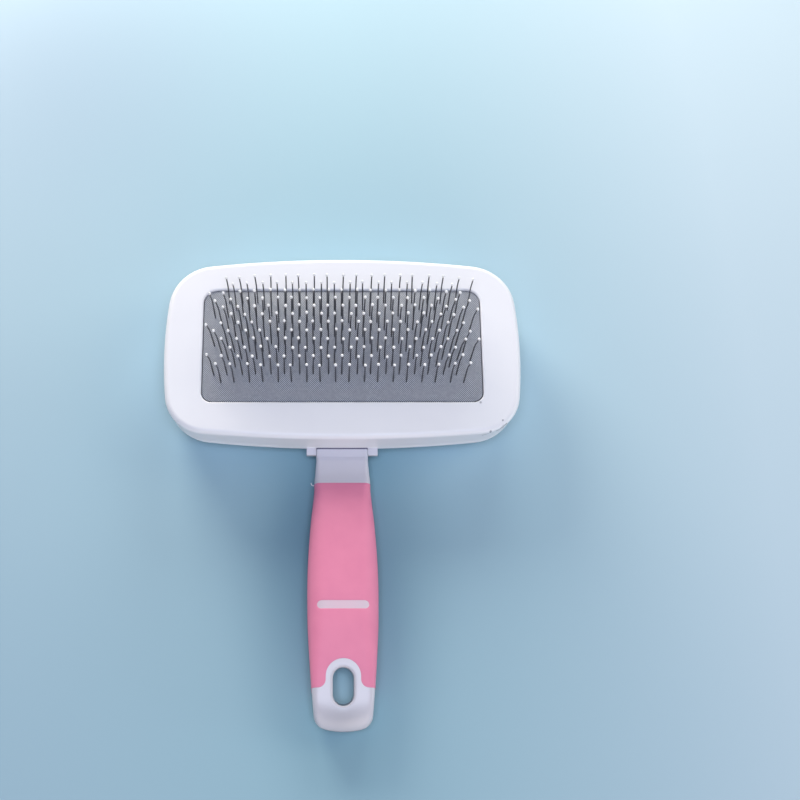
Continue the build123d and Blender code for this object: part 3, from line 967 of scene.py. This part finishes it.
def make_pins(wire_material, tip_material):
    points, faces = [], []
    tip_points, tip_faces = [], []
    for x, v in pin_places():
        path = pin_path(x, v)
        add_tube(points, faces, path, wire_radius, 8)
        axis = (path[-1] - path[-2]).normalized()
        add_drop(tip_points, tip_faces, path[-1] + axis * ball_seat, axis)
    wires = make_object("pins_steel", points, faces, wire_material)
    as_piece(wires, "needle_cloth", "pin_field")
    tips = make_object("tips_resin", tip_points, tip_faces, tip_material)
    as_piece(tips, "tip_resin", "ball_tips")


def round_ring(middle, axis, radius, sides):
    across = axis.cross(Vector((1, 0, 0))).normalized()
    other = axis.cross(across)
    turns = [2 * math.pi * share for share in steps(sides)[:-1]]
    return [middle + (across * math.cos(turn) + other * math.sin(turn)) * radius for turn in turns]


def add_tube(points, faces, path, radius, sides):
    rings = []
    for index, place in enumerate(path):
        before = path[max(index - 1, 0)]
        after = path[min(index + 1, len(path) - 1)]
        rings.append(round_ring(place, (after - before).normalized(), radius, sides))
    add_skin(points, faces, rings)


def add_drop(points, faces, middle, axis):
    """A bead of resin that tapers a little onto the wire."""
    size = ball_diameter / 2 * random.uniform(*ball_spread)
    rings = []
    for share in steps(9):
        along = -math.cos(math.pi * share) * size
        if along < 0:
            along *= ball_taper
        reach = max(math.sin(math.pi * share) * size, 0.01)
        rings.append(round_ring(middle + axis * along, axis, reach, 14))
    add_skin(points, faces, rings)


# ==== materials
def feed(node, inputs):
    """Sets a node's inputs, or links those that come from another node."""
    for key, value in inputs.items():
        socket = node.inputs[key]
        if hasattr(value, "links"):
            node.id_data.links.new(value, socket)
        else:
            socket.default_value = value


def add_node(tree, kind, inputs=None, **settings):
    node = tree.nodes.new(kind)
    for key, value in settings.items():
        setattr(node, key, value)
    feed(node, inputs or {})
    return node


def number_step(tree, operation, *values):
    """The result of one step of arithmetic on numbers."""
    node = add_node(tree, "ShaderNodeMath", dict(enumerate(values)), operation=operation)
    return node.outputs[0]


def vector_step(tree, operation, *values):
    """The result of one step of arithmetic on vectors, in some cases a number."""
    node = add_node(tree, "ShaderNodeVectorMath", dict(enumerate(values)), operation=operation)
    return node.outputs["Value" if operation in ("LENGTH", "DOT_PRODUCT") else "Vector"]


def ramp(tree, value, low, high, start=0.0, end=1.0, shape="LINEAR"):
    """Start where a value is low or less, end where it is high or more."""
    return add_node(tree, "ShaderNodeMapRange",
                    {"Value": value, "From Min": low, "From Max": high, "To Min": start,
                     "To Max": end}, interpolation_type=shape).outputs[0]


def noise(tree, place, scale, detail):
    return add_node(tree, "ShaderNodeTexNoise", {"Vector": place, "Scale": scale,
                                                 "Detail": detail}).outputs["Fac"]


def bumps(tree, height, strength, distance=0.0001):
    return add_node(tree, "ShaderNodeBump", {"Height": height, "Strength": strength,
                                             "Distance": distance}).outputs["Normal"]


def blend_colours(tree, share, first, second):
    node = add_node(tree, "ShaderNodeMix", data_type="RGBA")
    enabled = {socket.name: index for index, socket in enumerate(node.inputs) if socket.enabled}
    feed(node, {enabled["Factor"]: share, enabled["A"]: first, enabled["B"]: second})
    return [socket for socket in node.outputs if socket.enabled][0]


def new_material(name):
    """A material with its node tree, its shader and the place on the object in millimetres."""
    material = bpy.data.materials.new(name)
    material.use_nodes = True
    tree = material.node_tree
    place = add_node(tree, "ShaderNodeTexCoord").outputs["Object"]
    place = vector_step(tree, "MULTIPLY", place, (1 / MM, 1 / MM, 1 / MM))
    return material, tree, tree.nodes["Principled BSDF"], place


def white_plastic(name, colour, roughness, marks=None):
    """Faintly clouded plastic with the ripple of a moulded skin, and with marks on its tone."""
    material, tree, shader, place = new_material(name)
    shade = (*(0.965 * value for value in colour[:3]), 1.0)
    tone = blend_colours(tree, noise(tree, place, 0.06, 3.0), shade, colour)
    if marks:
        tone = marks(tree, place, tone)
    feed(shader, {"Base Color": tone, "Roughness": roughness, "IOR": 1.5,
                  "Normal": bumps(tree, noise(tree, place, 0.9, 2.0), 0.05)})
    return material


def stroke_mask(tree, place, start, end, width):
    """One at a straight stroke between two points, falling to nothing at its width; the
    stroke spreads further up and down the head's wall than across."""
    reach = end - start
    square = max(reach.length_squared, 1e-6)
    along = vector_step(tree, "SUBTRACT", place, tuple(start))
    share = vector_step(tree, "DOT_PRODUCT", along, tuple(reach / square))
    share = add_node(tree, "ShaderNodeClamp", {"Value": share}).outputs[0]
    nearest = vector_step(tree, "MULTIPLY", tuple(reach), share)
    away = vector_step(tree, "SUBTRACT", along, nearest)
    distance = vector_step(tree, "LENGTH", vector_step(tree, "MULTIPLY", away, scuff_shape))
    return ramp(tree, distance, 0.25 * width, width, 1.0, 0.0, "SMOOTHSTEP")


def scuffed(tree, place, tone):
    """Small grey scuffs near the head's lower right corner."""
    for start, end, width, strength in scuffs:
        ends = [Vector(point) + Vector((0, opening_y, 0)) for point in (start, end)]
        mask = stroke_mask(tree, place, *ends, width)
        faint = number_step(tree, "MULTIPLY", mask, strength)
        tone = blend_colours(tree, faint, tone, scuff_tone)
    return tone


def distance_from(tree, place, middle, reach):
    """Distance in plan from a middle, one at the reach across and along."""
    scale = (1 / reach[0], 1 / reach[1], 0.0)
    offset = (-middle[0] / reach[0], -middle[1] / reach[1], 0.0)
    return vector_step(tree, "LENGTH", vector_step(tree, "MULTIPLY_ADD", place, scale, offset))


def painted_light_spots(tree, place, tone, spots):
    """Paints light or shade into a tone: tints it inside soft ellipses."""
    for x, y, reach_x, reach_y, tint in spots:
        away = distance_from(tree, place, (x, y), (reach_x, reach_y))
        fade = ramp(tree, away, 0.0, 1.0, 1.0, 0.0, "SMOOTHSTEP")
        tone = blend_colours(tree, fade, tone, vector_step(tree, "MULTIPLY", tone, tint))
    return tone


def painted_bounce_and_shade(tree, place, tone):
    """Painted pink bounce light inside the bar and painted shade at the handle's end."""
    return painted_light_spots(tree, place, tone, handle_light_spots)


def clouded(name, scale, detail, tones, finish, peel=None):
    """A material that drifts between two tones, with a finish and a fine rough skin."""
    material, tree, shader, place = new_material(name)
    tone = blend_colours(tree, noise(tree, place, scale, detail), *tones)
    feed(shader, {"Base Color": tone, **finish})
    if peel:
        feed(shader, {"Normal": bumps(tree, noise(tree, place, *peel[:2]), peel[2])})
    return material


def woven_cloth():
    """A plain weave of grey threads that runs at an angle across the pad."""
    material, tree, shader, place = new_material("cloth_woven")
    turned = add_node(tree, "ShaderNodeVectorRotate",
                      {"Vector": place, "Angle": math.radians(weave_turn)}, rotation_type="Z_AXIS")
    apart = add_node(tree, "ShaderNodeSeparateXYZ", {0: turned.outputs[0]})
    waves = []
    for axis in ("X", "Y"):
        phase = number_step(tree, "MULTIPLY", apart.outputs[axis], math.pi / thread_pitch)
        waves.append(number_step(tree, "SINE", phase))
    product = number_step(tree, "MULTIPLY", *waves)
    height = number_step(tree, "MULTIPLY", product, product)
    ragged = ramp(tree, noise(tree, place, 0.9, 3.0), 0.3, 0.7, 0.7, 1.1)
    tone = blend_colours(tree, number_step(tree, "MULTIPLY", height, ragged), *cloth_tones)
    feed(shader, {"Base Color": tone, "Roughness": 0.75,
                  "Normal": bumps(tree, height, 0.6, 0.00012)})
    return material


def foam_grey():
    material, tree, shader, place = new_material("foam_cells")
    cells = add_node(tree, "ShaderNodeTexVoronoi", {"Vector": place, "Scale": 1.6})
    depth = cells.outputs["Distance"]
    feed(shader, {"Base Color": blend_colours(tree, depth, *foam_tones), "Roughness": 0.9,
                  "Normal": bumps(tree, depth, 0.5, 0.0003)})
    return material


# ==== floor, light and camera
def make_floor():
    turns = [2 * math.pi * share for share in steps(96)[:-1]]
    points = [(*on_circle(0, 0, floor_reach, turn), -floor_drop) for turn in turns]
    material, tree, shader, place = new_material("floor_blue")
    # The floor's tone is painted light and shade: lighter along a slant, a painted shadow in the
    # middle, and painted spots of shadow and light.
    slant = vector_step(tree, "DOT_PRODUCT", place, light_slant)
    tone = blend_colours(tree, ramp(tree, slant, *slant_range), *floor_tones)
    away = distance_from(tree, place, middle_place, middle_reach)
    tone = blend_colours(tree, ramp(tree, away, *middle_range), middle_shadow_tone, tone)
    tone = painted_light_spots(tree, place, tone, floor_light_spots)
    feed(shader, {"Base Color": tone, "Roughness": 0.7})
    floor = make_object("floor", points, [tuple(range(len(points)))], material)


def add_area(name, place, size, power, colour):
    light = bpy.data.lights.new(name, "AREA")
    light.shape = "DISK"
    light.size = size
    light.energy = power
    light.color = colour
    lamp = bpy.data.objects.new(name, light)
    bpy.context.collection.objects.link(lamp)
    lamp.location = place
    way = Vector(lamp_aim) - Vector(place)
    lamp.rotation_euler = way.to_track_quat("-Z", "Y").to_euler()


def light_studio():
    """The lamps, a faint surround, and a pale backdrop that only shows beyond the floor."""
    for name, settings in lamps.items():
        add_area(name, *settings)
    world = bpy.data.worlds.new("studio")
    world.use_nodes = True
    tree = world.node_tree
    surround = tree.nodes["Background"]
    feed(surround, {"Color": surround_tone, "Strength": surround_strength})
    backdrop = add_node(tree, "ShaderNodeBackground", {"Color": backdrop_tone})
    seen = add_node(tree, "ShaderNodeLightPath").outputs["Is Camera Ray"]
    mixed = add_node(tree, "ShaderNodeMixShader", {0: seen, 1: surround.outputs[0],
                                                   2: backdrop.outputs[0]})
    feed(tree.nodes["World Output"], {"Surface": mixed.outputs[0]})
    bpy.context.scene.world = world
    bpy.context.scene.view_settings.view_transform = "Standard"


def place_camera():
    camera = bpy.data.cameras.new("camera")
    camera.lens = camera_lens
    camera.shift_x = camera_shift
    holder = bpy.data.objects.new("camera", camera)
    bpy.context.collection.objects.link(holder)
    holder.location = Vector(camera_place) * MM
    holder.rotation_euler = (math.radians(camera_tilt), 0.0, 0.0)
    bpy.context.scene.camera = holder


# ==== the scene
white_housing = white_plastic("housing_white", (0.83, 0.84, 0.91, 1), 0.36, scuffed)
# The handle's white is the housing's white made darker as painted shade, for the shade on the neck
# and the handle's end; the collar's ears use it for the same painted shade.
white_handle = white_plastic("handle_white_shaded", (0.64, 0.625, 0.70, 1), 0.36, painted_bounce_and_shade)
# seam_shadow is painted shadow: a dark colour that stands for the shade in the gap under the
# frame's edge.
seam_shadow = white_plastic("seam_painted_shadow", (0.13, 0.12, 0.20, 1), 0.6)
soft_pink = clouded("grip_pink", 0.12, 4.0, pink_tones, {"Roughness": 0.58, "IOR": 1.45},
                    (2.4, 3.0, 0.18))
steel_wire = clouded("wire_steel", 1.6, 2.0, steel_tones, {"Metallic": 1.0, "Roughness": 0.38})
tip_resin = clouded("resin_tip", 0.7, 1.0, resin_tones, {"Roughness": 0.22})
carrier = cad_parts["pad_carrier"]
carrier.data.materials.clear()
carrier.data.materials.append(white_plastic("carrier_white", (0.62, 0.63, 0.68, 1), 0.5))

make_front_frame(white_housing)
make_back_shell(white_housing)
# The ears take the handle's darker white as painted shade.
make_collar(white_handle)
make_core(white_handle)
make_neck(white_handle, seam_shadow)
make_flash(white_housing)
make_sleeve(soft_pink)
make_foam(foam_grey())
make_cloth(woven_cloth())
make_pins(steel_wire, tip_resin)
make_floor()
light_studio()
place_camera()
